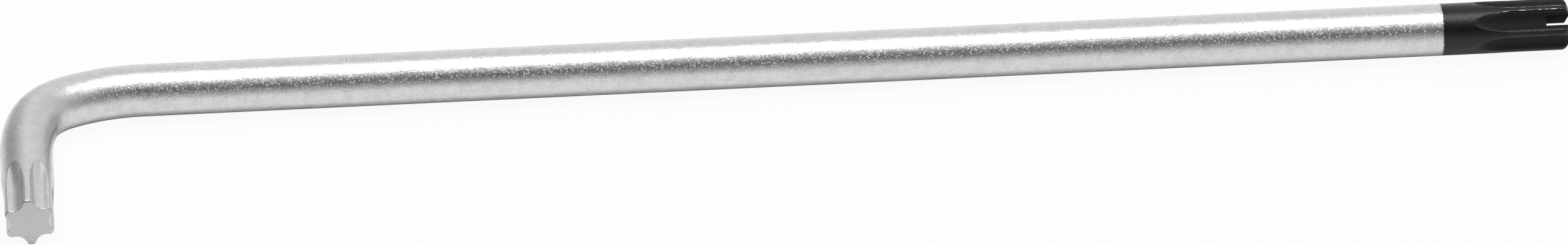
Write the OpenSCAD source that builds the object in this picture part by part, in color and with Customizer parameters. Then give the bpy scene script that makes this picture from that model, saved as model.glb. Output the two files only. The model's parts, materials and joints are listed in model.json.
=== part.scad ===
// Long L-shaped star key: a round bar bent once, with a six-lobed star at each end.
// It lies flat: the long arm runs along +X, the short arm points to -Y, and Z is up.
// The origin is the middle of its footprint on the bench.

/* [Arms] */
// Overall length of the long arm, from the outside of the bend to the end
long_len = 200; // [140:1:260]
// Overall length of the short arm, from the outside of the long arm to the end
short_len = 32; // [30:0.1:60]

/* [Bend] */
// Radius of the tight middle of the bend, at the bar's centre line
bend_r = 7.8; // [6:0.1:10]
// Radius of the gentler curve that leads into and out of the bend
ease_r = 24; // [16:0.5:28]
// Angle of the gentle curve on the long arm's side
ease_long_angle = 24; // [10:1:35]
// Angle of the gentle curve on the short arm's side
ease_short_angle = 16; // [8:1:25]

/* [Star] */
// Diameter across the star's lobes
lobe_d = 6.75; // [6:0.01:7.5]
// How much the round bar is thinner than the star's lobes, which leaves a land on each
crest_trim = 0.12; // [0.04:0.01:0.2]
// Diameter across the star's valleys
valley_d = 4.85; // [3.8:0.01:5.5]
// Radius of the round on each lobe
lobe_r = 0.55; // [0.4:0.01:0.7]
// Radius of the curve in which each flute runs out of the bar
runout_r = 14.5; // [10:0.5:25]

/* [Short tip] */
// Length of the flutes on the short arm, with their run-out
short_flute_len = 9.7; // [7:0.1:12]
// Plain bar between the short arm's flutes and the start of its tip
short_tip_margin = 0.8; // [0.3:0.1:2]
// Angle of the first lobe about the short arm, from straight up, away from the long arm
short_star_turn = 3; // [-30:1:30]
// Break on the edge of the short arm's end
short_edge_break = 0.2; // [0.1:0.05:0.6]

/* [Long tip] */
// Length of the black stretch at the end of the long arm
black_len = 16.4; // [14.5:0.1:24]
// Length of the flutes on the long arm, with their run-out
long_flute_len = 12.2; // [9:0.1:13.5]
// Plain bar between the long arm's flutes and the start of its star
long_tip_margin = 0.4; // [0.2:0.1:1]
// Angle of the first lobe about the long arm, up from level on the short arm's side
long_star_turn = 15; // [-30:1:30]
// Radius of the round on the end of the long arm
long_edge_r = 1; // [0.4:0.05:1.4]
// Width of the saw slot in the end
slot_w = 1.3; // [0.8:0.05:1.6]
// Depth of the saw slot, from the end
slot_depth = 3; // [1.5:0.1:6]

/* [Hidden] */
// How far cuts run past what they cut
overrun = 1;
// How far each valley's round laps over its lobes' rounds, so that they cross cleanly
flank_lap = 0.02;
// Extra turn of the run-out past the bar's surface, in degrees
runout_spare_angle = 4;
// How far each flute's cut stays short of the middle of a lobe, outside the bar, in degrees
crest_gap_angle = 1;
// Number of lobes
lobes = 6;
// Straight steps that make the round on the long end
edge_steps = 8;
// Sides of full circles
$fn = 96;

lobe_pitch = 360 / lobes;
half_pitch = lobe_pitch / 2;
right_angle = 90;
straight_angle = 2 * right_angle;

bar_d = lobe_d - crest_trim;
bar_r = bar_d / 2;
lobe_centre = lobe_d / 2 - lobe_r;
valley_floor = valley_d / 2;

// Round of a valley that just touches the lobes on both sides, and then laps over them
touching_r = (pow(lobe_centre, 2) + pow(valley_floor, 2) - pow(lobe_r, 2)
    - 2 * lobe_centre * valley_floor * cos(half_pitch))
    / (2 * (lobe_r + lobe_centre * cos(half_pitch) - valley_floor));
valley_r = touching_r + flank_lap;
valley_centre = valley_floor + valley_r;

// Run-out: where the flute's floor leaves the bar, and how much of its length that takes
runout_angle = acos(1 - (bar_r - valley_floor) / runout_r);
runout_len = runout_r * sin(runout_angle);
runout_axis = valley_floor + runout_r;

// Places of the two arms and the end faces
end_x = long_len / 2;
end_y = -short_len / 2;
long_axis_y = short_len / 2 - bar_r;
short_axis_x = bar_r - long_len / 2;

// Turn of the bend left for its tight middle, and the angles where its three curves meet
first_joint = right_angle + ease_long_angle;
second_joint = straight_angle - ease_short_angle;
middle_angle = second_joint - first_joint;
ease_step = ease_r - bend_r;

// Reach of the bend along each arm, and its three centres
bend_reach_x = ease_r - ease_step * (cos(first_joint) - cos(second_joint));
bend_reach_y = ease_r - ease_step * (sin(first_joint) - sin(second_joint));
bend_start_x = short_axis_x + bend_reach_x;
bend_end_y = long_axis_y - bend_reach_y;
first_centre = [bend_start_x, long_axis_y - ease_r];
middle_centre = first_centre + ease_step * [cos(first_joint), sin(first_joint)];
last_centre = middle_centre - ease_step * [cos(second_joint), sin(second_joint)];

black_start_x = end_x - black_len;
long_tip_len = long_flute_len + long_tip_margin;
long_tip_start_x = end_x - long_tip_len;
short_tip_len = short_flute_len + short_tip_margin;
short_tip_start_y = end_y + short_tip_len;

chrome_colour = [0.78, 0.79, 0.8];
black_colour = [0.1, 0.1, 0.11];

// Puts a shape that stands on Z along the long arm, starting at x
module along_long_arm(x) {
    translate([x, long_axis_y, bar_r]) rotate([0, right_angle, 0]) children();
}

// Puts a shape that stands on Z along the short arm, starting at y
module along_short_arm(y) {
    translate([short_axis_x, y, bar_r]) rotate([right_angle, 0, 0]) children();
}

function on_ray(radius, angle) = radius * [sin(angle), cos(angle)];
function flipped(point) = [-point.x, point.y];

// Section of one flute, with its valley on +Y and half a lobe on each side
module flute_section() {
    lobe_at = on_ray(lobe_centre, half_pitch);
    rim_at = on_ray((bar_r + overrun) / cos(half_pitch), half_pitch - crest_gap_angle);
    valley_at = [0, valley_centre];
    to_lobe = lobe_at - valley_at;
    lap_at = valley_at + (valley_r - flank_lap / 2) * to_lobe / norm(to_lobe);
    difference() {
        union() {
            translate(valley_at) circle(r = valley_r);
            polygon([lap_at, lobe_at, rim_at, flipped(rim_at), flipped(lobe_at), flipped(lap_at)]);
        }
        translate(lobe_at) circle(r = lobe_r);
        translate(flipped(lobe_at)) circle(r = lobe_r);
    }
}

// One flute of a tip that ends at z = tip_len: straight at the end, then run out of the bar
module flute(tip_len, flute_len) {
    straight = flute_len - runout_len;
    translate([0, 0, tip_len - straight]) {
        linear_extrude(straight + overrun) flute_section();
        translate([0, runout_axis, 0]) rotate([0, right_angle, 0]) rotate(-right_angle)
            rotate_extrude(angle = runout_angle + runout_spare_angle)
                translate([runout_axis, 0]) rotate(right_angle) flute_section();
    }
}

module flutes(tip_len, flute_len) {
    for (i = [0 : lobes - 1]) rotate(half_pitch + i * lobe_pitch) flute(tip_len, flute_len);
}

// Straight round bar of the long arm
module long_shaft() {
    color(chrome_colour) along_long_arm(bend_start_x)
        cylinder(h = black_start_x - bend_start_x, d = bar_d);
}

// One curve of the bend about a centre, from one angle through a turn
module bar_curve(centre, radius, from, turn) {
    translate([centre.x, centre.y, bar_r]) rotate(from)
        rotate_extrude(angle = turn) translate([radius, 0]) circle(d = bar_d);
}

// Gentle curve from the long arm into the bend
module bend_lead_in() {
    color(chrome_colour) bar_curve(first_centre, ease_r, right_angle, ease_long_angle);
}

// Tight middle of the bend
module bend() {
    color(chrome_colour) bar_curve(middle_centre, bend_r, first_joint, middle_angle);
}

// Gentle curve from the bend into the short arm
module bend_lead_out() {
    color(chrome_colour) bar_curve(last_centre, ease_r, second_joint, ease_short_angle);
}

// Round bar between the bend and the short tip
module short_shaft() {
    color(chrome_colour) along_short_arm(bend_end_y)
        cylinder(h = bend_end_y - short_tip_start_y, d = bar_d);
}

// Short tip: star with a square end whose edge is broken
module short_star_tip() {
    color(chrome_colour) along_short_arm(short_tip_start_y) rotate(short_star_turn) difference() {
        rotate_extrude() polygon([[0, 0], [bar_r, 0], [bar_r, short_tip_len - short_edge_break],
            [bar_r - short_edge_break, short_tip_len], [0, short_tip_len]]);
        flutes(short_tip_len, short_flute_len);
    }
}

// Black round bar between the plated shaft and the long star
module black_neck() {
    color(black_colour) along_long_arm(black_start_x)
        cylinder(h = long_tip_start_x - black_start_x, d = bar_d);
}

// Long tip: black star with a rounded end and a saw slot through two valleys
module long_star_tip() {
    corner = [bar_r - long_edge_r, long_tip_len - long_edge_r];
    round_end = [for (i = [0 : edge_steps])
        corner + long_edge_r * [cos(i * right_angle / edge_steps), sin(i * right_angle / edge_steps)]];
    star_turn = straight_angle - long_star_turn;
    color(black_colour) along_long_arm(long_tip_start_x) rotate(star_turn) difference() {
        rotate_extrude() polygon(concat([[0, 0], [bar_r, 0]], round_end, [[0, long_tip_len]]));
        flutes(long_tip_len, long_flute_len);
        rotate(-half_pitch) translate([-slot_w / 2, -bar_r - overrun, long_tip_len - slot_depth])
            cube([slot_w, bar_d + 2 * overrun, slot_depth + overrun]);
    }
}

long_shaft();
bend_lead_in();
bend();
bend_lead_out();
short_shaft();
short_star_tip();
black_neck();
long_star_tip();
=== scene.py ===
import json
import math
from functools import lru_cache

import bmesh
import bpy
from mathutils import Matrix, Quaternion, Vector


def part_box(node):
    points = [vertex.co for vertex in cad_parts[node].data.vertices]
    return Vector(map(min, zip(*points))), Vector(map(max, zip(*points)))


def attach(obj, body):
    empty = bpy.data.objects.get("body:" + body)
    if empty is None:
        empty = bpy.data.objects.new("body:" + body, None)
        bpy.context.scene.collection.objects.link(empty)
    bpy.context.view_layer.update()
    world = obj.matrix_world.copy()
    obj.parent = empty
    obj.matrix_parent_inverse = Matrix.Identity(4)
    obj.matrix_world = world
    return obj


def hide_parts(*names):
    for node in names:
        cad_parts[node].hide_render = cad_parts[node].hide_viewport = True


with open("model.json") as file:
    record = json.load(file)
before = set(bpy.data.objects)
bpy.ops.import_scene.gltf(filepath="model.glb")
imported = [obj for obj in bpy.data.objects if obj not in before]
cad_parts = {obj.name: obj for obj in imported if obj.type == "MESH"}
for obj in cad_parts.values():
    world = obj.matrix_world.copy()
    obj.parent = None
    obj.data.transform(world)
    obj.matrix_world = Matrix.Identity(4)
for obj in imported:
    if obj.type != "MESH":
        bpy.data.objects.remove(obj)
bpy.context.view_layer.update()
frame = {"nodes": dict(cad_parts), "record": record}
print("frame loaded:", len(frame["nodes"]), "nodes")

mm = 0.001
weldReach = 1e-4 * mm       # points closer than this are one
seamReach = 1e-3 * mm       # the same where a star's sheet closes on itself
noiseSpread = (0.3, 0.7)    # levels between which most of a noise lies
cloudy = (3.0, 0.6)         # detail and roughness of a noise
speckled = (2.0, 0.6)
mounts = {mount["name"]: mount for mount in frame["record"]["mounts"]}


def mountSize(name, key):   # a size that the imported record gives, in metres
    return mounts[name]["dims"][key] * mm


# The round bar: one thickness all over, with its two arms
bar = {
    "radius": mountSize("long_shank", "r_mm"),
    "longAxis": Vector(mounts["long_shank"]["pos_m"]),
    "shortAxis": Vector(mounts["short_star_drive"]["pos_m"]),
    "longEnd": mounts["long_star_drive"]["pos_m"][0],
    "shortEnd": mounts["short_star_drive"]["pos_m"][1],
    "sides": 192,
    "ringStep": 1.5 * mm,       # between rings on the straights
    "turnStep": math.radians(0.3),   # between rings on the curves
}
bar["shaftStart"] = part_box("long_shaft")[0].x
bar["blackStart"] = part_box("long_shaft")[1].x
bar["starStart"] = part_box("black_neck")[1].x
bar["bendEnd"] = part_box("short_shaft")[1].y
bar["shortStarStart"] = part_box("short_shaft")[0].y


# Helpers for node trees

def addNode(tree, kind, inputs=None, **settings):
    made = tree.nodes.new(kind)
    for name, value in settings.items():
        setattr(made, name, value)
    for key, value in (inputs or {}).items():
        if isinstance(value, bpy.types.NodeSocket):
            tree.links.new(value, made.inputs[key])
        else:
            made.inputs[key].default_value = value
    return made


def calc(tree, operation, first, second=0.0, clamp=False):
    made = addNode(tree, "ShaderNodeMath", {0: first, 1: second}, operation=operation, use_clamp=clamp)
    return made.outputs[0]


def vectorCalc(tree, operation, first, second):
    return addNode(tree, "ShaderNodeVectorMath", {0: first, 1: second}, operation=operation).outputs["Vector"]


def scaled(tree, vector, factor):
    made = addNode(tree, "ShaderNodeVectorMath", {0: vector, "Scale": factor}, operation="SCALE")
    return made.outputs["Vector"]


def ranged(tree, value, low, high, toLow=0.0, toHigh=1.0):   # smooth step from one range to another
    limits = {"Value": value, "From Min": low, "From Max": high, "To Min": toLow, "To Max": toHigh}
    return addNode(tree, "ShaderNodeMapRange", limits, interpolation_type="SMOOTHSTEP").outputs["Result"]


def mixed(tree, factor, first, second):     # two colours, by the node's own numbers for its sockets
    made = addNode(tree, "ShaderNodeMix", {"Factor": factor}, data_type="RGBA")
    for key, value in ((6, first), (7, second)):
        if isinstance(value, bpy.types.NodeSocket):
            tree.links.new(value, made.inputs[key])
        else:
            made.inputs[key].default_value = (*value, 1)
    return made.outputs[2]


def blended(tree, factor, first, second):   # the same for two plain values
    return addNode(tree, "ShaderNodeMix", {0: factor, 2: first, 3: second}).outputs[0]


def stored(tree, name):     # a value that the mesh keeps at its points
    return addNode(tree, "ShaderNodeAttribute", attribute_name=name).outputs["Fac"]


def noise(tree, vector, size, detail=2.0, roughness=0.5):   # size of the features in metres
    made = addNode(tree, "ShaderNodeTexNoise", {"Vector": vector, "Scale": 1 / size, "Detail": detail,
                                                "Roughness": roughness})
    return made.outputs["Fac"]


def bump(tree, height, depth, normal=None):     # depth in metres
    inputs = {"Height": height, "Distance": depth, "Strength": 1.0}
    if normal is not None:
        inputs["Normal"] = normal
    return addNode(tree, "ShaderNodeBump", inputs).outputs["Normal"]


def stretched(tree, vector, scale):
    return addNode(tree, "ShaderNodeMapping", {"Vector": vector, "Scale": scale}).outputs["Vector"]


def newMaterial(name):
    made = bpy.data.materials.new(name)
    made.use_nodes = True
    return made, made.node_tree, made.node_tree.nodes["Principled BSDF"]


# Satin chrome: fine slanted grain, tilted flakes that sparkle, shallow waves, faint stains and a few pits
chrome = {
    "colour": (0.66, 0.662, 0.668),
    "stain": (0.615, 0.612, 0.605),
    "pitColour": (0.3, 0.3, 0.31),
    "grainSlant": math.radians(57),
    "grainLength": 0.17 * mm,
    "grainWidth": 0.125 * mm,
    "grainDepth": 0.03 * mm,
    "grainDetail": 1.0,
    "grainInFlutes": 0.5,       # how much of the grain is left there
    "flakeSpacing": 0.24 * mm,
    "flakeSlim": 1.3,           # length of a flake over its width
    "flakeSides": (0.3, 0.65),  # most flakes lean fully up or down
    "flakeLean": (0.1, 0.2, 0.62),
    "flakeEdge": (0.65, 0.25),  # from a flake's rim, where it lies flat, to its full lean
    "flakeInFlutes": 0.25,
    "fluteEdge": (0.0, 0.5),    # from the round bar to where a flute counts in full
    "glint": {"Coat Weight": 0.25, "Coat IOR": 3.5, "Coat Roughness": 0.18},
    "waveSize": 1.6 * mm,
    "waveDepth": 0.05 * mm,
    "stainSize": 1.3 * mm,
    "stainSpread": (0.4, 0.65),
    "pitSpacing": 1.6 * mm,
    "pitShare": 0.2,
    "pitEdge": (0.09, 0.03),    # from a pit's rim to its floor
    "ripplePitch": 0.3 * mm,    # tool marks across the short star's flutes
    "rippleWander": 2.5,
    "rippleDepth": 0.005 * mm,
    "roughness": (0.2, 0.27),
}


def roundTheBar(tree, place):   # unrolls the bar: along it, and round it from its top
    parts = addNode(tree, "ShaderNodeSeparateXYZ", {"Vector": place})
    angle = calc(tree, "ARCTAN2", parts.outputs["Y"], parts.outputs["Z"])
    around = calc(tree, "MULTIPLY", angle, bar["radius"])
    return addNode(tree, "ShaderNodeCombineXYZ", {"X": parts.outputs["X"], "Y": around}).outputs["Vector"]


def slanted(tree, place):
    turn = {"Vector": roundTheBar(tree, place), "Angle": -chrome["grainSlant"]}
    return addNode(tree, "ShaderNodeVectorRotate", turn, rotation_type="Z_AXIS").outputs["Vector"]


def weakInFlutes(tree, height, left):
    flute = stored(tree, "flute")
    return calc(tree, "MULTIPLY", height, ranged(tree, flute, *chrome["fluteEdge"], 1.0, left))


def slantedGrain(tree, place):
    scale = (1 / chrome["grainLength"], 1 / chrome["grainWidth"], 1.0)
    grain = noise(tree, stretched(tree, slanted(tree, place), scale), 1.0, chrome["grainDetail"])
    return weakInFlutes(tree, grain, chrome["grainInFlutes"])


def tiltedFlakes(tree, place, normal):  # each leans its own way, so one here and there catches the light
    scale = (1 / chrome["flakeSpacing"] / chrome["flakeSlim"], 1 / chrome["flakeSpacing"], 1.0)
    grid = stretched(tree, slanted(tree, place), scale)
    cells = addNode(tree, "ShaderNodeTexVoronoi", {"Vector": grid, "Scale": 1.0}, voronoi_dimensions="2D")
    low, high = chrome["flakeSides"]
    # sockets 7 to 10 hold a vector's old and new limits
    limits = {"Vector": cells.outputs["Color"], 7: (low,) * 3, 8: (high,) * 3, 9: (-1,) * 3, 10: (1,) * 3}
    sides = addNode(tree, "ShaderNodeMapRange", limits, data_type="FLOAT_VECTOR",
                    interpolation_type="SMOOTHSTEP").outputs["Vector"]
    lean = vectorCalc(tree, "MULTIPLY", chrome["flakeLean"], sides)
    inside = ranged(tree, cells.outputs["Distance"], *chrome["flakeEdge"])
    leaning = scaled(tree, lean, weakInFlutes(tree, inside, chrome["flakeInFlutes"]))
    return vectorCalc(tree, "NORMALIZE", vectorCalc(tree, "ADD", normal, leaning), (0, 0, 0))


def scatteredPits(tree, place):
    cells = addNode(tree, "ShaderNodeTexVoronoi", {"Vector": place, "Scale": 1 / chrome["pitSpacing"]})
    pick = addNode(tree, "ShaderNodeSeparateColor", {"Color": cells.outputs["Color"]}).outputs[0]
    return calc(tree, "MULTIPLY", ranged(tree, cells.outputs["Distance"], *chrome["pitEdge"]),
                calc(tree, "LESS_THAN", pick, chrome["pitShare"]))


def fluteRipple(tree, place, stain):
    along = addNode(tree, "ShaderNodeSeparateXYZ", {"Vector": place}).outputs["X"]
    phase = calc(tree, "ADD", calc(tree, "MULTIPLY", along, 2 * math.pi / chrome["ripplePitch"]),
                 calc(tree, "MULTIPLY", stain, 2 * math.pi * chrome["rippleWander"]))
    flute = stored(tree, "flute")
    return calc(tree, "MULTIPLY", calc(tree, "SINE", phase), flute)


def satinChrome():
    made, tree, shader = newMaterial("satin_chrome_finish")
    place = addNode(tree, "ShaderNodeAttribute", attribute_name="barPlace").outputs["Vector"]
    stain = noise(tree, place, chrome["stainSize"], *cloudy)
    normal = bump(tree, noise(tree, place, chrome["waveSize"]), chrome["waveDepth"])
    normal = bump(tree, fluteRipple(tree, place, stain), chrome["rippleDepth"], normal)
    flaked = tiltedFlakes(tree, place, normal)
    normal = bump(tree, slantedGrain(tree, place), chrome["grainDepth"], normal)
    plating = mixed(tree, ranged(tree, stain, *chrome["stainSpread"]), chrome["colour"], chrome["stain"])
    plating = mixed(tree, scatteredPits(tree, place), plating, chrome["pitColour"])
    tree.links.new(plating, shader.inputs["Base Color"])
    tree.links.new(ranged(tree, stain, *noiseSpread, *chrome["roughness"]), shader.inputs["Roughness"])
    tree.links.new(normal, shader.inputs["Normal"])
    tree.links.new(flaked, shader.inputs["Coat Normal"])
    for name, value in {"Metallic": 1.0, **chrome["glint"]}.items():
        shader.inputs[name].default_value = value
    return made


# Short end face: plated over saw marks
endFace = {
    "colour": (0.63, 0.628, 0.625),
    "streakTurn": math.radians(-8),
    "streakLength": 1.6 * mm,
    "streakWidth": 0.16 * mm,
    "streakDepth": 0.05 * mm,
    "pitSize": 0.22 * mm,
    "pitDepth": 0.05 * mm,
    "roughness": (0.22, 0.38),
}


def sawnEnd():
    made, tree, shader = newMaterial("sawn_chrome_end")
    place = addNode(tree, "ShaderNodeTexCoord").outputs["Object"]
    turned = addNode(tree, "ShaderNodeVectorRotate", {"Vector": place, "Angle": endFace["streakTurn"]},
                     rotation_type="Y_AXIS").outputs["Vector"]
    across = 1 / endFace["streakWidth"]
    drawn = stretched(tree, turned, (1 / endFace["streakLength"], across, across))
    streak = noise(tree, drawn, 1.0, *cloudy)
    normal = bump(tree, noise(tree, place, endFace["pitSize"], *speckled), endFace["pitDepth"])
    tree.links.new(bump(tree, streak, endFace["streakDepth"], normal), shader.inputs["Normal"])
    tree.links.new(ranged(tree, streak, *noiseSpread, *endFace["roughness"]), shader.inputs["Roughness"])
    shader.inputs["Base Color"].default_value = (*endFace["colour"], 1)
    shader.inputs["Metallic"].default_value = 1.0
    return made


# Black finish on bare steel: satin, mottled, and rubbed through along the edges, the rubbing kept mostly to
# the upper edges as a painted highlight; the flutes are painted darker as painted shade
black = {
    "dark": (0.0045, 0.0043, 0.0044),
    "light": (0.0085, 0.008, 0.008),
    # painted shade: the flutes a little darker than the coat on the lands
    "fluteColour": (0.0035, 0.0035, 0.0037),
    "rubbed": (0.035, 0.033, 0.032),
    "steel": (0.5, 0.49, 0.48),
    "mottleSize": 1.1 * mm,
    "mottleSpread": (0.35, 0.65),
    "grainSize": 0.2 * mm,
    "grainDepth": 0.03 * mm,
    "wearSize": 1.3 * mm,       # length of the stretches that are worn through
    "wearNoise": (2.0, 0.7),    # its detail and roughness
    "wearSpread": (0.45, 0.62),
    # painted highlight: below the low height the edges wear through only by the least share, so bare edges
    # show mostly high up where the overhead light falls
    "wearLow": 4.4 * mm,        # edges below this height are worn least
    "wearHigh": 6.0 * mm,
    "wearLeast": 0.15,
    "rubCore": (0.5, 0.9),      # of the rubbed line, the part that can wear through
    "rubWide": (0.2, 0.9),      # and the part that only turns paler
    "roughness": (0.18, 0.28),
    "fluteRoughness": 0.72,
    "steelRoughness": 0.3,
    "specular": 0.38,
    "edgeCreep": 0.3 * mm,      # how far the plating runs on into the black, in a ragged line
    "edgeSize": 0.32 * mm,
}


def blackFinish():
    made, tree, shader = newMaterial("black_satin_finish")
    place = addNode(tree, "ShaderNodeTexCoord").outputs["Object"]
    parts = addNode(tree, "ShaderNodeSeparateXYZ", {"Vector": place})
    mottle = noise(tree, place, black["mottleSize"], *cloudy)
    grain = noise(tree, place, black["grainSize"], *speckled)
    creep = calc(tree, "MULTIPLY", noise(tree, place, black["edgeSize"], *cloudy), black["edgeCreep"])
    plated = calc(tree, "LESS_THAN", parts.outputs["X"], calc(tree, "ADD", creep, bar["blackStart"]))
    rub = stored(tree, "rub")
    flute = stored(tree, "flute")
    wearAndPaintedHighlight = ranged(tree, noise(tree, place, black["wearSize"], *black["wearNoise"]), *black["wearSpread"])
    # painted highlight: the real edge wear is kept mostly to the upper edges, where the overhead light
    # catches them
    upper = ranged(tree, parts.outputs["Z"], black["wearLow"], black["wearHigh"], black["wearLeast"], 1.0)
    wearAndPaintedHighlight = calc(tree, "MULTIPLY", wearAndPaintedHighlight, upper)
    wornAndPaintedHighlight = calc(tree, "MULTIPLY", ranged(tree, rub, *black["rubCore"]), wearAndPaintedHighlight)
    bare = calc(tree, "MAXIMUM", plated, wornAndPaintedHighlight)
    coat = mixed(tree, ranged(tree, mottle, *black["mottleSpread"]), black["dark"], black["light"])
    # painted shade: the flutes take the darker colour
    coat = mixed(tree, flute, coat, black["fluteColour"])
    coat = mixed(tree, ranged(tree, rub, *black["rubWide"]), coat, black["rubbed"])
    tree.links.new(mixed(tree, bare, coat, black["steel"]), shader.inputs["Base Color"])
    tree.links.new(bare, shader.inputs["Metallic"])
    satin = ranged(tree, grain, *noiseSpread, *black["roughness"])
    satin = blended(tree, flute, satin, black["fluteRoughness"])
    tree.links.new(blended(tree, bare, satin, black["steelRoughness"]), shader.inputs["Roughness"])
    tree.links.new(bump(tree, grain, black["grainDepth"]), shader.inputs["Normal"])
    shader.inputs["Specular IOR Level"].default_value = black["specular"]
    return made


# Walls of the saw slot: painted shade, a darker and duller black with saw scores, standing in for the shade
# deep inside the slot
slotShade = {
    "dark": (0.003, 0.003, 0.003),
    "light": (0.008, 0.008, 0.008),
    "scoreStretch": (0.15, 1.0, 1.0),
    "scoreSize": 0.12 * mm,
    "scoreDepth": 0.01 * mm,
    "scoreDetail": 3.0,
    "scoreSpread": (0.35, 0.65),
    "roughness": 0.8,
    "specular": 0.05,
}


def paintedSlotShade():
    made, tree, shader = newMaterial("black_slot_walls")
    place = addNode(tree, "ShaderNodeTexCoord").outputs["Object"]
    drawn = stretched(tree, place, slotShade["scoreStretch"])
    score = noise(tree, drawn, slotShade["scoreSize"], slotShade["scoreDetail"])
    shade = ranged(tree, score, *slotShade["scoreSpread"])
    tree.links.new(mixed(tree, shade, slotShade["dark"], slotShade["light"]), shader.inputs["Base Color"])
    tree.links.new(bump(tree, score, slotShade["scoreDepth"]), shader.inputs["Normal"])
    shader.inputs["Roughness"].default_value = slotShade["roughness"]
    shader.inputs["Specular IOR Level"].default_value = slotShade["specular"]
    return made


chromeMaterial = satinChrome()
endMaterial = sawnEnd()
blackMaterial = blackFinish()
slotShadeMaterial = paintedSlotShade()
print("materials made:", len(bpy.data.materials))


# Making pieces

def finishPiece(name, bm, materials, node):
    bmesh.ops.remove_doubles(bm, verts=bm.verts, dist=weldReach)
    bmesh.ops.recalc_face_normals(bm, faces=bm.faces)
    mesh = bpy.data.meshes.new(name)
    bm.to_mesh(mesh)
    bm.free()
    for material in materials:
        mesh.materials.append(material)
    piece = bpy.data.objects.new(name, mesh)
    bpy.context.scene.collection.objects.link(piece)
    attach(piece, "root")
    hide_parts(node)
    print(name, "made:", len(mesh.polygons), "faces")


def capEnds(bm):        # closes the open rims with flat faces, and makes their edges sharp
    rims = [edge for edge in bm.edges if edge.is_boundary]
    for face in bm.faces:
        face.smooth = True
    for edge in rims:
        edge.smooth = False
    caps = bmesh.ops.edgeloop_fill(bm, edges=rims)["faces"]
    for face in caps:
        face.smooth = False
    return caps


def storePlace(bm, unbent):     # where each point would lie on the bar before it was bent
    layer = bm.verts.layers.float_vector.new("barPlace")
    for vert in bm.verts:
        vert[layer] = unbent(vert.co)


# The bend: a tight elbow between two gentle curves
bend = {
    "easeRadius": 24 * mm,      # gentle curves on both sides of the elbow
    "tightRadius": 7.8 * mm,    # the elbow itself
    "easeLong": math.radians(24),
    "easeShort": math.radians(16),
}
bend["firstJoint"] = math.pi / 2 + bend["easeLong"]
bend["secondJoint"] = math.pi - bend["easeShort"]

# Lengths along the bar of its three arcs, in turn
arcLengths = [bend["easeRadius"] * bend["easeLong"],
              bend["tightRadius"] * (bend["secondJoint"] - bend["firstJoint"]),
              bend["easeRadius"] * bend["easeShort"]]


def unbentLong(co):
    return Vector((co.x - bar["shaftStart"], co.y - bar["longAxis"].y, co.z - bar["radius"]))


def unbentShort(co):
    return Vector((co.y - bar["bendEnd"] - sum(arcLengths), bar["shortAxis"].x - co.x, co.z - bar["radius"]))


def unbentCurve(centre, radius, fromAngle, lengthBefore):
    def unbent(co):
        reach = co.xy - centre
        turned = math.atan2(reach.y, reach.x) % (2 * math.pi) - fromAngle
        return Vector((-lengthBefore - radius * turned, reach.length - radius, co.z - bar["radius"]))
    return unbent


def straightBar(start, end):    # round bar between two points of one arm
    bm = bmesh.new()
    length = (end - start).length
    turn = (end - start).to_track_quat("Z", "Y").to_matrix().to_4x4()
    bmesh.ops.create_cone(bm, cap_ends=False, segments=bar["sides"], radius1=bar["radius"],
                          radius2=bar["radius"], depth=length,
                          matrix=Matrix.Translation((start + end) / 2) @ turn)
    lengthwise = [edge for edge in bm.edges if edge.calc_length() > length / 2]
    cuts = max(1, round(length / bar["ringStep"]))
    bmesh.ops.subdivide_edges(bm, edges=lengthwise, cuts=cuts, use_grid_fill=True)
    capEnds(bm)
    return bm


def alongArm(axis, coordinate, start, stop):    # round bar on an arm, between two places along it
    ends = axis.copy(), axis.copy()
    for end, place in zip(ends, (start, stop)):
        end[coordinate] = place
    return straightBar(*ends)


def curvedBar(centre, radius, fromAngle, turn):     # round bar along an arc about a centre on the bench plane
    bm = bmesh.new()
    outward = Vector((math.cos(fromAngle), math.sin(fromAngle), 0))
    middle = Vector((centre.x, centre.y, bar["radius"])) + radius * outward
    stand = Matrix.Rotation(fromAngle, 4, "Z") @ Matrix.Rotation(math.pi / 2, 4, "X")
    ring = bmesh.ops.create_circle(bm, cap_ends=False, segments=bar["sides"], radius=bar["radius"],
                                   matrix=Matrix.Translation(middle) @ stand)["verts"]
    bmesh.ops.spin(bm, geom=ring + bm.edges[:], cent=(centre.x, centre.y, 0), axis=(0, 0, 1), angle=turn,
                   steps=round(turn / bar["turnStep"]), use_merge=False)
    capEnds(bm)
    return bm


# Plated bar: long arm, the bend's three curves, short arm
def platedBar():
    bm = alongArm(bar["longAxis"], 0, bar["shaftStart"], bar["blackStart"])
    storePlace(bm, unbentLong)
    finishPiece("plated_long_arm", bm, [chromeMaterial], "long_shaft")

    step = bend["easeRadius"] - bend["tightRadius"]
    first = Vector((bar["shaftStart"], bar["longAxis"].y - bend["easeRadius"]))
    middle = first + step * Vector((math.cos(bend["firstJoint"]), math.sin(bend["firstJoint"])))
    last = middle - step * Vector((math.cos(bend["secondJoint"]), math.sin(bend["secondJoint"])))
    curves = (
        ("plated_lead_in", "bend_lead_in", first, bend["easeRadius"], math.pi / 2, bend["easeLong"]),
        ("plated_elbow", "bend", middle, bend["tightRadius"], bend["firstJoint"],
         bend["secondJoint"] - bend["firstJoint"]),
        ("plated_lead_out", "bend_lead_out", last, bend["easeRadius"], bend["secondJoint"],
         bend["easeShort"]),
    )
    for index, (name, node, centre, radius, fromAngle, turn) in enumerate(curves):
        bm = curvedBar(centre, radius, fromAngle, turn)
        storePlace(bm, unbentCurve(centre, radius, fromAngle, sum(arcLengths[:index])))
        finishPiece(name, bm, [chromeMaterial], node)

    bm = alongArm(bar["shortAxis"], 1, bar["bendEnd"], bar["shortStarStart"])
    storePlace(bm, unbentShort)
    finishPiece("plated_short_arm", bm, [chromeMaterial], "short_shaft")


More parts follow.
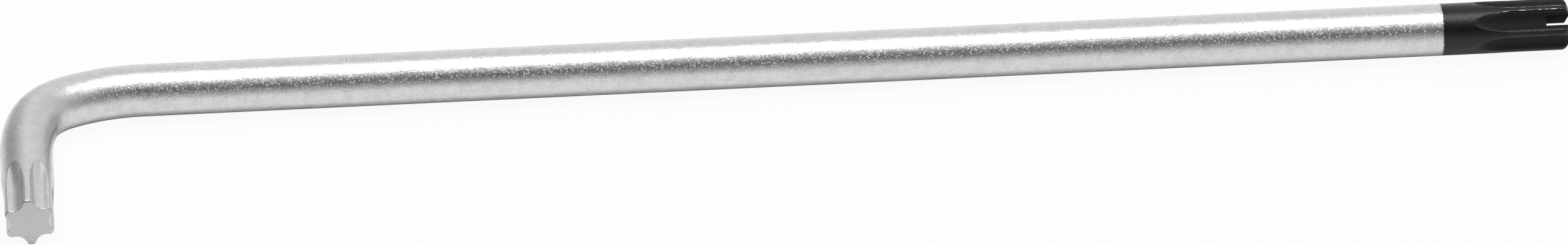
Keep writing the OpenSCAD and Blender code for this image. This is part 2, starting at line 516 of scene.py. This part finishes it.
# Section of the star: rounds of the valleys and lobes that just touch
star = {
    "lobes": 6,
    "lobeReach": mountSize("long_star_drive", "r_mm"),
    "valleyReach": 2.425 * mm,
    "lobeRound": 0.55 * mm,
    "runoutRadius": 14.5 * mm,
    "edgeBlend": 0.03 * mm,     # softness of the edge between a flute and the bar
    "rubWidth": 0.06 * mm,      # worn line along the edges of the lands
    "sides": 288,
    "crowding": 0.6,            # how much the sides crowd towards the lobes
    "searchReach": 1.5,         # how far out a flute's surface is looked for, over the bar's radius
    "halvings": 30,
    "angleDigits": 7,           # kept of each angle, so that points alike share one search
    "levelDigits": 8,
}

halfPitch = math.pi / star["lobes"]
lobeCentre = star["lobeReach"] - star["lobeRound"]
valleyRound = ((lobeCentre ** 2 + star["valleyReach"] ** 2 - star["lobeRound"] ** 2
                - 2 * lobeCentre * star["valleyReach"] * math.cos(halfPitch))
               / (2 * (star["lobeRound"] + lobeCentre * math.cos(halfPitch) - star["valleyReach"])))
valleyCentre = star["valleyReach"] + valleyRound
toLobe = Vector((lobeCentre * math.sin(halfPitch), lobeCentre * math.cos(halfPitch) - valleyCentre))
touch = Vector((0, valleyCentre)) + valleyRound * toLobe.normalized()
touchAngle = math.atan2(touch.x, touch.y)
runoutLength = math.sqrt(star["runoutRadius"] ** 2
                         - (star["runoutRadius"] + star["valleyReach"] - bar["radius"]) ** 2)


def starRadius(angle):      # angle from the middle of a valley, up to half a pitch
    if angle < touchAngle:
        aside = valleyCentre * math.sin(angle)
        return valleyCentre * math.cos(angle) - math.sqrt(valleyRound ** 2 - aside ** 2)
    fromLobe = halfPitch - angle
    aside = lobeCentre * math.sin(fromLobe)
    return lobeCentre * math.cos(fromLobe) + math.sqrt(star["lobeRound"] ** 2 - aside ** 2)


@lru_cache(maxsize=None)
def fluteRadius(angle, past):   # the same at a distance past the straight stretch, where the flute curves out
    if past <= 0:
        return starRadius(angle)
    pivot = star["valleyReach"] + star["runoutRadius"]
    low, high = star["valleyReach"], star["searchReach"] * bar["radius"]
    for halving in range(star["halvings"]):
        radius = (low + high) / 2
        across = radius * math.sin(angle)
        height = pivot - math.hypot(pivot - radius * math.cos(angle), past)
        if math.hypot(across, height) < starRadius(min(math.atan2(across, height), halfPitch)):
            low = radius
        else:
            high = radius
    return low


@lru_cache(maxsize=None)
def landAngle(past):        # where the flute meets the round bar, from the middle of the valley
    low, high = 0.0, halfPitch
    for halving in range(star["halvings"]):
        angle = (low + high) / 2
        if fluteRadius(angle, past) < bar["radius"]:
            low = angle
        else:
            high = angle
    return low


def softMin(first, second, blend):
    overlap = max(blend - abs(first - second), 0) / blend
    return min(first, second) - overlap ** 2 * blend / 4


def fluteAngle(share):      # share of the way round to the angle from the first lobe, crowded at the lobes
    angle = share * 2 * math.pi
    return angle - star["crowding"] / star["lobes"] * math.sin(star["lobes"] * angle)


def fromValley(angle):      # the same angle, folded to the nearest valley's middle
    return round(abs((angle % (2 * halfPitch)) - halfPitch), star["angleDigits"])


def starTip(length, fluteLength, levels, envelope, inset):
    # A sheet rolled into a tube: across the sheet is round the tip, up the sheet is along it
    bm = bmesh.new()
    rub = bm.verts.layers.float.new("rub")
    flute = bm.verts.layers.float.new("flute")
    rings = len(levels) - 1
    half = 0.5      # of the sheet, before it is rolled
    sheet = bmesh.ops.create_grid(bm, x_segments=star["sides"], y_segments=rings, size=half)["verts"]
    straightStart = length - fluteLength + runoutLength
    fluteDepth = bar["radius"] - star["valleyReach"]
    for vert in sheet:
        angle = fluteAngle(vert.co.x + half)
        level = levels[round((vert.co.y + half) * rings)]
        folded = fromValley(angle)
        past = round(max(straightStart - level, 0), star["levelDigits"])
        radius = envelope(level)
        if past < runoutLength:
            radius = softMin(radius, fluteRadius(folded, past), star["edgeBlend"])
            offEdge = (folded - landAngle(past)) * bar["radius"] / star["rubWidth"]
            vert[rub] = math.exp(-offEdge ** 2)
            vert[flute] = min((envelope(level) - radius) / fluteDepth * 2, 1)     # full at half its depth
        radius -= inset(level)
        vert.co = (radius * math.cos(angle), radius * math.sin(angle), level)
    bmesh.ops.remove_doubles(bm, verts=sheet, dist=seamReach)
    return bm


def spread(low, high, count):   # evenly spaced levels, without the last
    return [low + (high - low) * step / count for step in range(count)]


def roundLevels(start, radius, count):  # levels up a quarter round, crowded where it turns over
    return [start + radius * math.sin(step * math.pi / 2 / count) for step in range(count + 1)]


def capTip(bm, length):
    caps = capEnds(bm)
    return [face for face in caps if face.calc_center_median().z > length / 2]


# Short star: square end with a small chamfer on the lobes and a fine round all along its outline
shortTip = {
    "fluteLength": mountSize("short_star_drive", "length_mm"),
    "lobeTurn": math.radians(3),    # first lobe, from straight up, away from the long arm
    "chamfer": 0.2 * mm,
    "edgeRound": 0.09 * mm,
    "rings": (4, 64, 20, 5),    # on the plain bar, the run-out, the straight flutes and the chamfer
    "roundRings": 8,
}


def shortStar():
    length = bar["shortStarStart"] - bar["shortEnd"]
    start = length - shortTip["fluteLength"]
    roundStart = length - shortTip["edgeRound"]
    chamferStart = length - shortTip["chamfer"]
    plain, runout, straight, chamfer = shortTip["rings"]
    levels = (spread(0, start, plain) + spread(start, start + runoutLength, runout)
              + spread(start + runoutLength, chamferStart, straight)
              + spread(chamferStart, roundStart, chamfer)
              + roundLevels(roundStart, shortTip["edgeRound"], shortTip["roundRings"]))

    def envelope(level):
        return bar["radius"] - max(level - chamferStart, 0)

    def inset(level):
        inRound = min(max(level - roundStart, 0), shortTip["edgeRound"])
        return shortTip["edgeRound"] - math.sqrt(shortTip["edgeRound"] ** 2 - inRound ** 2)

    bm = starTip(length, shortTip["fluteLength"], levels, envelope, inset)
    for face in capTip(bm, length):
        face.material_index = 1
    # local Z runs to the end, local X is straight up, turned to the first lobe
    stand = Matrix(((0, -1, 0), (0, 0, -1), (1, 0, 0))).to_4x4()
    lean = Matrix.Rotation(shortTip["lobeTurn"], 4, "Z")
    foot = Vector((bar["shortAxis"].x, bar["shortStarStart"], bar["radius"]))
    bm.transform(Matrix.Translation(foot) @ stand @ lean)
    storePlace(bm, unbentShort)
    finishPiece("plated_short_star", bm, [chromeMaterial, endMaterial], "short_star_tip")


# Long star: round end, and a saw slot through the valley beside the first lobe
longTip = {
    "fluteLength": mountSize("long_star_drive", "length_mm"),
    "lobeTurn": math.radians(15),   # first lobe, up from level on the short arm's side
    "endRound": 1.0 * mm,
    "slotWidth": 1.3 * mm,
    "slotDepth": 3.0 * mm,
    "rings": (4, 64, 24),       # on the plain bar, the run-out and the straight flutes
    "roundRings": 32,
}


def longStar():
    length = bar["longEnd"] - bar["starStart"]
    start = length - longTip["fluteLength"]
    roundStart = length - longTip["endRound"]
    plain, runout, straight = longTip["rings"]
    levels = (spread(0, start, plain) + spread(start, start + runoutLength, runout)
              + spread(start + runoutLength, roundStart, straight)
              + roundLevels(roundStart, longTip["endRound"], longTip["roundRings"]))

    def envelope(level):
        inRound = min(max(level - roundStart, 0), longTip["endRound"])
        return bar["radius"] - longTip["endRound"] + math.sqrt(longTip["endRound"] ** 2 - inRound ** 2)

    bm = starTip(length, longTip["fluteLength"], levels, envelope, lambda level: 0.0)
    capTip(bm, length)
    sawSlot(bm, length)
    # local Z runs to the end, local X is level towards the short arm's side, turned up to the first lobe
    stand = Matrix(((0, 0, 1), (-1, 0, 0), (0, -1, 0))).to_4x4()
    lie = Matrix.Rotation(-longTip["lobeTurn"], 4, "Z")
    foot = Vector((bar["starStart"], bar["longAxis"].y, bar["radius"]))
    bm.transform(Matrix.Translation(foot) @ stand @ lie)
    finishPiece("black_long_star", bm, [blackMaterial, slotShadeMaterial], "long_star_tip")


def sawSlot(bm, length):
    floor = length - longTip["slotDepth"]
    half = longTip["slotWidth"] / 2
    # the slot runs through the valley half a pitch past the first lobe, on the upper side
    across = Vector((math.sin(halfPitch), math.cos(halfPitch), 0))

    def cut(place, normal):
        upper = [face for face in bm.faces if max(vert.co.z for vert in face.verts) > floor - weldReach]
        edges = {edge for face in upper for edge in face.edges}
        verts = {vert for face in upper for vert in face.verts}
        bmesh.ops.bisect_plane(bm, geom=upper + list(edges) + list(verts), plane_co=place, plane_no=normal,
                               dist=weldReach)

    cut(Vector((0, 0, floor)), Vector((0, 0, 1)))
    cut(across * half, across)
    cut(across * -half, across)

    def inSlot(face):
        middle = face.calc_center_median()
        return abs(middle.dot(across)) < half and middle.z > floor

    def onFloor(vert):
        return abs(vert.co.z - floor) < weldReach

    def onWall(vert, side):
        return abs(vert.co.dot(across) - side * half) < weldReach

    def inSlotWall(face):
        return (all(onFloor(vert) for vert in face.verts) or all(onWall(vert, 1) for vert in face.verts)
                or all(onWall(vert, -1) for vert in face.verts))

    bmesh.ops.delete(bm, geom=[face for face in bm.faces if inSlot(face)], context="FACES")
    rim = [edge for edge in bm.edges if edge.is_boundary]
    corners = [vert for vert in {v for edge in rim for v in edge.verts}
               if onFloor(vert) and (onWall(vert, 1) or onWall(vert, -1))]
    rub = bm.verts.layers.float["rub"]
    for edge in rim:
        for vert in edge.verts:
            vert[rub] = 0.0
    feet = []
    for side in (-1, 1):
        wall = [edge for edge in rim if all(onWall(vert, side) for vert in edge.verts)]
        pair = [vert for vert in corners if onWall(vert, side)]
        foot = bm.edges.new(pair)
        feet.append(foot)
        bmesh.ops.contextual_create(bm, geom=wall + [foot])
    bottom = [edge for edge in rim if all(onFloor(vert) for vert in edge.verts)]
    bmesh.ops.contextual_create(bm, geom=bottom + feet)
    for edge in rim + feet:
        edge.smooth = False
    # the slot's walls and floor take the painted shade material
    for face in {face for edge in rim + feet for face in edge.link_faces if inSlotWall(face)}:
        face.smooth = False
        face.material_index = 1


# Black collar: the round stretch between the plating and the long star
def blackCollar():
    bm = alongArm(bar["longAxis"], 0, bar["blackStart"], bar["starStart"])
    bm.verts.layers.float.new("rub")
    finishPiece("black_collar", bm, [blackMaterial], "black_neck")


platedBar()
shortStar()
blackCollar()
longStar()


# Stage: white bench that keeps a faint shadow
# In reflections its white is painted dimmer towards the camera and to the left as painted shade, with a
# painted contact shadow where the key touches it
stage = {
    "size": 40.0,
    "drop": 0.01 * mm,
    "colour": (0.86, 0.86, 0.86),
    "roughness": 0.9,
    "whiteToCamera": 0.93,
    "whiteToGloss": 0.76,
    "glossNear": (-45 * mm, 0.74),      # how far back, and how bright
    "glossFar": (8 * mm, 1.08),
    "glossLeft": (-125 * mm, 0.42),     # how far to the side, and how much of that is left
    "glossRight": (-98 * mm, 1.0),
    "touchReach": 1.8 * mm,
}


def whiteBench():
    bm = bmesh.new()
    bmesh.ops.create_grid(bm, x_segments=1, y_segments=1, size=stage["size"] / 2,
                          matrix=Matrix.Translation((0, 0, -stage["drop"])))
    mesh = bpy.data.meshes.new("bench")
    bm.to_mesh(mesh)
    bm.free()
    bench = bpy.data.objects.new("bench", mesh)
    bpy.context.scene.collection.objects.link(bench)
    made, tree, shader = newMaterial("bench_white")
    shader.inputs["Base Color"].default_value = (*stage["colour"], 1)
    shader.inputs["Roughness"].default_value = stage["roughness"]
    shader.inputs["Specular IOR Level"].default_value = 0.0
    paths = addNode(tree, "ShaderNodeLightPath")
    gloss = calc(tree, "MAXIMUM", paths.outputs["Is Glossy Ray"], paths.outputs["Is Transmission Ray"])
    share = calc(tree, "ADD", calc(tree, "MULTIPLY", paths.outputs["Is Camera Ray"], stage["whiteToCamera"]),
                 calc(tree, "MULTIPLY", gloss, stage["whiteToGloss"]))
    place = addNode(tree, "ShaderNodeTexCoord").outputs["Object"]
    parts = addNode(tree, "ShaderNodeSeparateXYZ", {"Vector": place})
    (near, nearLevel), (far, farLevel) = stage["glossNear"], stage["glossFar"]
    (left, leftLevel), (right, rightLevel) = stage["glossLeft"], stage["glossRight"]
    # painted shade in reflections: a contact shadow where the key hems the bench in, and dimmer towards the
    # camera
    clear = addNode(tree, "ShaderNodeAmbientOcclusion", {"Distance": stage["touchReach"]}).outputs["AO"]
    level = calc(tree, "MULTIPLY", ranged(tree, parts.outputs["Y"], near, far, nearLevel, farLevel), clear)
    # painted shade: dimmer to the left as well
    sideways = ranged(tree, parts.outputs["X"], left, right, leftLevel, rightLevel)
    level = calc(tree, "MULTIPLY", level, sideways)
    strength = blended(tree, gloss, 1.0, level)
    white = addNode(tree, "ShaderNodeEmission", {"Color": (1, 1, 1, 1), "Strength": strength})
    blend = addNode(tree, "ShaderNodeMixShader", {0: share, 1: shader.outputs[0], 2: white.outputs[0]})
    tree.links.new(blend.outputs[0], tree.nodes["Material Output"].inputs["Surface"])
    mesh.materials.append(made)


# Light: one softbox overhead, and a pale room that is dimmer on the left and dark round the camera
softbox = {
    "middle": Vector((-0.06, 0.0, 0.9)),
    "length": 0.84,
    "depth": 0.6,
    "tilt": math.radians(5),    # faces a little to the back
    "beam": math.radians(26),   # its grid lets no light out past this angle
    "radiance": 5.6,
}
room = {
    # degrees from the front horizon over the top to the back horizon, and the brightness there
    "steps": ((0, 0.6), (40, 0.6), (60, 0.7), (107, 0.82), (140, 0.88), (180, 1.0)),
    "left": (-0.62, 0.38),      # how far to the left, and how much of the brightness is left there
    "middle": (0.04, 1.0),
    "right": (0.6, 0.88),
    "tintLeft": (0.975, 0.995, 1.02),
    "tintRight": (1.01, 1.0, 0.985),
    "tintReach": 0.7,           # how far to each side its tint is full
    "dark": (0.115, 0.115, 0.12),
    "darkFrom": (0, 28, 0.1),   # degrees up from the horizon, and the share of the dark at the first
    "darkTo": (34, 58),
    "darkSide": (24, 48),       # degrees to each side of straight ahead
}


def roomLight(tree):
    direction = addNode(tree, "ShaderNodeTexCoord").outputs["Generated"]
    parts = addNode(tree, "ShaderNodeSeparateXYZ", {"Vector": direction})
    front = calc(tree, "MULTIPLY", parts.outputs["Y"], -1.0)
    over = calc(tree, "ARCTAN2", parts.outputs["Z"], front)
    ramp = addNode(tree, "ShaderNodeValToRGB", {"Fac": calc(tree, "DIVIDE", over, math.pi, clamp=True)})
    points = ramp.color_ramp.elements
    while len(points) < len(room["steps"]):
        points.new(0.5)     # its place is set below
    for point, (degrees, level) in zip(points, room["steps"]):
        point.position = math.radians(degrees) / math.pi
        point.color = (level, level, level, 1)
    (left, leftLevel), (middle, middleLevel) = room["left"], room["middle"]
    right, rightLevel = room["right"]
    sideways = calc(tree, "MULTIPLY", ranged(tree, parts.outputs["X"], left, middle, leftLevel, middleLevel),
                    ranged(tree, parts.outputs["X"], middle, right, middleLevel, rightLevel))
    toRight = ranged(tree, parts.outputs["X"], -room["tintReach"], room["tintReach"])
    tint = mixed(tree, toRight, room["tintLeft"], room["tintRight"])
    pale = scaled(tree, vectorCalc(tree, "MULTIPLY", ramp.outputs["Color"], tint), sideways)
    side = calc(tree, "ABSOLUTE", calc(tree, "ARCTAN2", parts.outputs["X"], front))
    up = calc(tree, "ARCSINE", parts.outputs["Z"])
    low, high, share = room["darkFrom"]
    dark = ranged(tree, up, math.radians(low), math.radians(high), share, 1.0)
    for angle, limits in ((up, room["darkTo"]), (side, room["darkSide"])):
        dark = calc(tree, "MULTIPLY", dark, ranged(tree, angle, *map(math.radians, limits), 1.0, 0.0))
    return mixed(tree, dark, pale, room["dark"])


def studio():
    lamp = bpy.data.lights.new("softbox", "AREA")
    lamp.shape = "RECTANGLE"
    lamp.size, lamp.size_y = softbox["length"], softbox["depth"]
    lamp.spread = 2 * softbox["beam"]
    narrowed = 1 - softbox["beam"] / math.tan(softbox["beam"])
    lamp.energy = softbox["radiance"] * math.pi * softbox["length"] * softbox["depth"] * narrowed
    holder = bpy.data.objects.new("softbox", lamp)
    holder.location = softbox["middle"]
    holder.rotation_euler = (softbox["tilt"], 0, 0)
    holder.visible_camera = False
    bpy.context.scene.collection.objects.link(holder)
    world = bpy.data.worlds.new("room")
    bpy.context.scene.world = world
    world.use_nodes = True
    tree = world.node_tree
    paths = addNode(tree, "ShaderNodeLightPath")
    seen = mixed(tree, paths.outputs["Is Camera Ray"], roomLight(tree), (1, 1, 1))
    tree.links.new(seen, tree.nodes["Background"].inputs["Color"])
    tree.nodes["Background"].inputs["Strength"].default_value = 1.0


# Camera: a long lens from in front and above, a little to the left
camera = {
    "lens": 255.0,  # with a longer one, the views from other sides lie past their clip end
    "sensor": 36.0,
    "azimuth": math.radians(-4.829),
    "elevation": math.radians(33.642),
    "roll": math.radians(-0.02),
    "distance": 1.398,
    "clip": (0.01, 100.0),
    "aim": Vector((-1.452, -1.51, 3.315)) * mm,
}


def takePhoto():
    lens = bpy.data.cameras.new("camera")
    lens.lens = camera["lens"]
    lens.sensor_fit = "HORIZONTAL"
    lens.sensor_width = camera["sensor"]
    lens.clip_start, lens.clip_end = camera["clip"]
    back = Vector((math.sin(camera["azimuth"]) * math.cos(camera["elevation"]),
                   -math.cos(camera["azimuth"]) * math.cos(camera["elevation"]),
                   math.sin(camera["elevation"])))
    holder = bpy.data.objects.new("camera", lens)
    holder.location = camera["aim"] + back * camera["distance"]
    holder.rotation_mode = "QUATERNION"
    holder.rotation_quaternion = (-back).to_track_quat("-Z", "Y") @ Quaternion((0, 0, 1), camera["roll"])
    bpy.context.scene.collection.objects.link(holder)
    bpy.context.scene.camera = holder


whiteBench()
studio()
takePhoto()
bpy.context.scene.view_settings.view_transform = "Standard"
print("stage, light and camera set")
